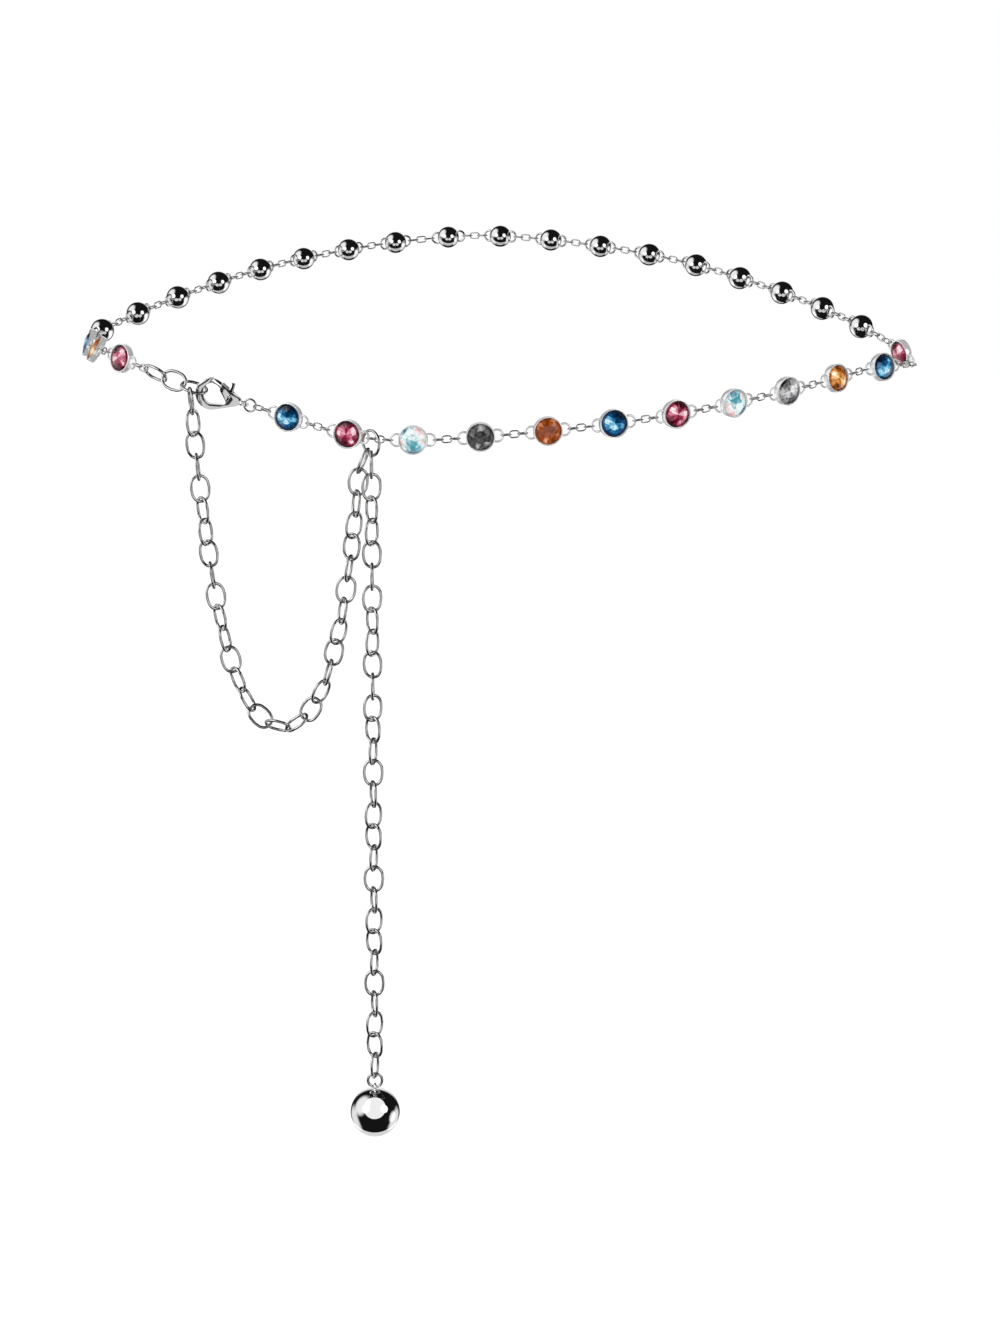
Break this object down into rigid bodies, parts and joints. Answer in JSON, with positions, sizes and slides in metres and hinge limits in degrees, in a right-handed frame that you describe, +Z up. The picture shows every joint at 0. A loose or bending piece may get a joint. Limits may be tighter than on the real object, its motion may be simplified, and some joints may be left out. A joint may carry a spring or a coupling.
{
  "type": "waist chain",
  "caption": "Chain worn round the waist: channel-set crystals and polished balls, a lobster clasp, a swag of oval links and a long drop with a ball.",
  "frame": {"origin": "middle of the loop, level with the body's axis at the waist", "axes": "+Z up along the body, +Y towards the wearer's back, +X towards the wearer's left side"},
  "size_m": [0.2568, 0.198, 0.2604],
  "materials": {
    "setting_steel": "polished",
    "mirror_steel": "mirror polished",
    "link_steel": "polished",
    "clasp_steel": "polished",
    "blue": "faceted",
    "rose": "faceted",
    "aurora": "faceted, iridescent",
    "smoke": "faceted",
    "topaz": "faceted",
    "clear": "faceted",
    "amber": "faceted"
  },
  "bodies": {
    "chain": {"crystal_01": "blue", "crystal_02": "rose", "crystal_03": "aurora", "crystal_04": "smoke", "crystal_05": "topaz", "crystal_06": "blue", "crystal_07": "rose", "crystal_08": "aurora", "crystal_09": "clear", "crystal_10": "amber", "crystal_11": "blue", "crystal_12": "rose", "crystal_13": "blue", "crystal_14": "amber", "crystal_15": "rose", "setting_01": "setting_steel", "setting_02": "setting_steel", "setting_03": "setting_steel", "setting_04": "setting_steel", "setting_05": "setting_steel", "setting_06": "setting_steel", "setting_07": "setting_steel", "setting_08": "setting_steel", "setting_09": "setting_steel", "setting_10": "setting_steel", "setting_11": "setting_steel", "setting_12": "setting_steel", "setting_13": "setting_steel", "setting_14": "setting_steel", "setting_15": "setting_steel", "ball_01": "mirror_steel", "ball_02": "mirror_steel", "ball_03": "mirror_steel", "ball_04": "mirror_steel", "ball_05": "mirror_steel", "ball_06": "mirror_steel", "ball_07": "mirror_steel", "ball_08": "mirror_steel", "ball_09": "mirror_steel", "ball_10": "mirror_steel", "ball_11": "mirror_steel", "ball_12": "mirror_steel", "ball_13": "mirror_steel", "ball_14": "mirror_steel", "ball_15": "mirror_steel", "ball_16": "mirror_steel", "ball_17": "mirror_steel", "ball_18": "mirror_steel", "front_links": "link_steel", "back_links": "link_steel", "lead_links": "link_steel", "clasp_body": "clasp_steel", "clasp_pin": "clasp_steel", "clasp_ring": "link_steel", "swag_chain": "link_steel", "jump_ring": "link_steel", "drop_chain": "link_steel", "drop_ring": "link_steel"},
    "clasp_lever": {"clasp_lever": "clasp_steel"},
    "ball_drop": {"drop_ball": "mirror_steel"}
  },
  "joints": [
    {"name": "lever_hinge", "type": "hinge", "parent": "chain", "child": "clasp_lever", "pos_m": [-0.07116, -0.06724, -0.01182], "axis": [-0.1948, -0.9808, 0], "range_deg": [0, 16], "stiffness_Nm_per_rad": 0.002, "springref_deg": -20.05},
    {"name": "ball_hinge", "type": "hinge", "parent": "chain", "child": "ball_drop", "pos_m": [-0.02936, -0.08177, -0.2211], "axis": [1, 0, 0], "range_deg": [-45, 45]}
  ]
}
